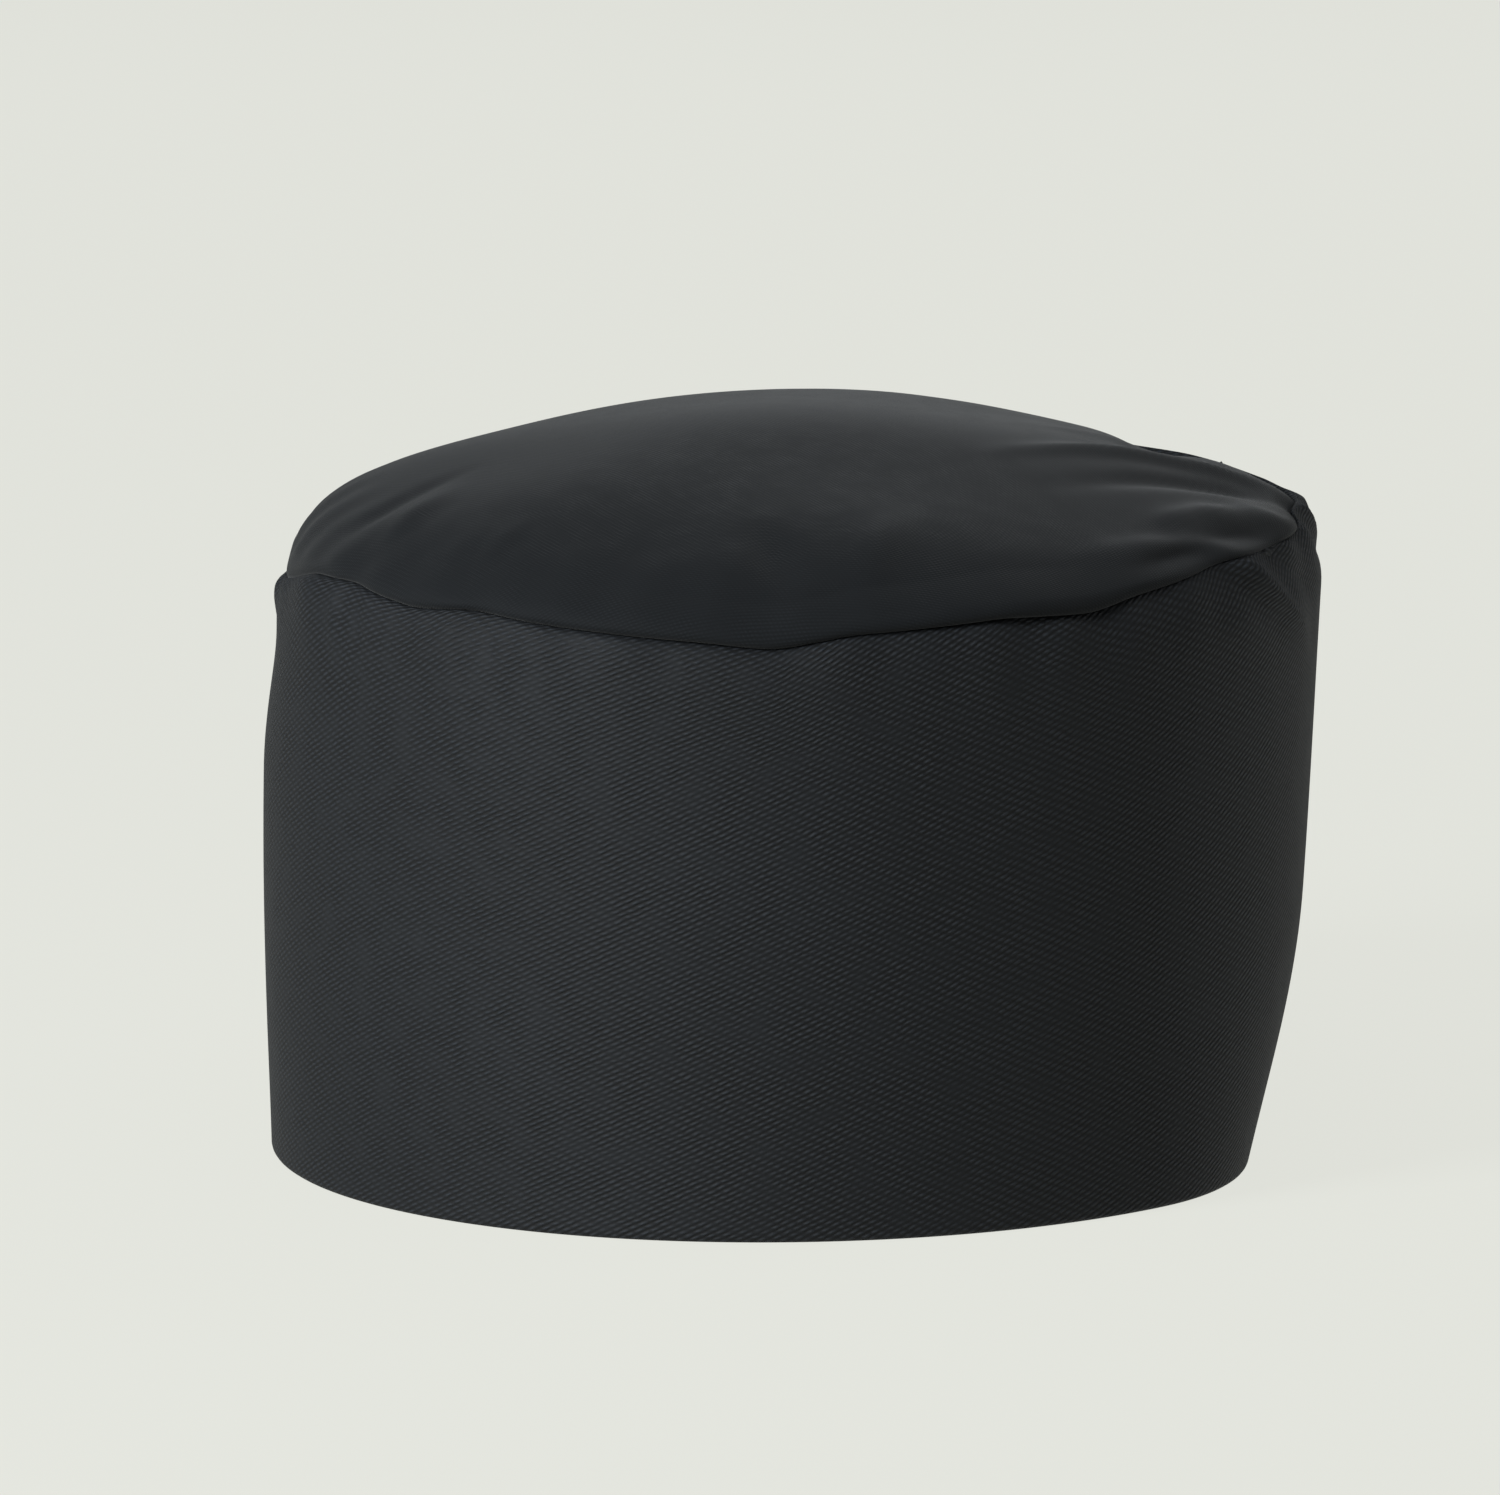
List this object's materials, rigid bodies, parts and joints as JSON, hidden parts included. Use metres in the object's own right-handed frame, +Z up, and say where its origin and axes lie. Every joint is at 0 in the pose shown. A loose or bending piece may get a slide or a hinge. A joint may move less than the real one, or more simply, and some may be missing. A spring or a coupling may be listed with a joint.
{
  "type": "chef toque",
  "caption": "Low pillbox chef's cap: smooth twill band, soft round crown, towelling sweatband inside, and a hook-and-loop strap over an arched slit at the back.",
  "frame": {"origin": "on the surface the hem stands on, under the middle of the cap", "axes": "+Z up from the hem to the crown, -Y the way the wearer faces, +X to the wearer's left"},
  "size_m": [0.196, 0.2108, 0.147],
  "materials": {
    "twill": "black twill, soft sheen",
    "lining": "plain black cotton",
    "interlining": "grey fusible canvas",
    "binding": "black bias tape",
    "towelling": "black looped towelling",
    "thread": "black polyester thread, slight shine",
    "hook_tape": "black nylon hooks",
    "loop_tape": "black brushed nylon loops",
    "label_satin": "off-white satin ribbon, blank"
  },
  "bodies": {
    "cap": {"crown_panel": "twill", "band_shell": "twill", "band_interlining": "interlining", "band_lining": "lining", "crown_seam_binding": "binding", "binding_stitch_row": "thread", "sweatband": "towelling", "sweatband_stitch_upper": "thread", "sweatband_stitch_lower": "thread", "sweatband_bar_tack_left": "thread", "sweatband_bar_tack_right": "thread", "slit_stitch_row": "thread", "slit_bar_tack": "thread", "strap_sewn_end": "twill", "strap_box_stitch": "thread", "loop_tape": "loop_tape", "loop_tape_stitch": "thread"},
    "strap": {"closure_strap": "twill", "hook_tape": "hook_tape", "hook_tape_stitch": "thread"},
    "label": {"care_label": "label_satin"}
  },
  "joints": [
    {"name": "strap_peel", "type": "hinge", "parent": "cap", "child": "strap", "pos_m": [0.0155, 0.08937, 0.01745], "axis": [-0.0922, -0.4411, -0.8927], "range_deg": [0, 115]},
    {"name": "label_flip", "type": "hinge", "parent": "cap", "child": "label", "pos_m": [-0.03911, 0.08822, 0.11927], "axis": [-0.8855, -0.4622, -0.0469], "range_deg": [0, 90]}
  ]
}
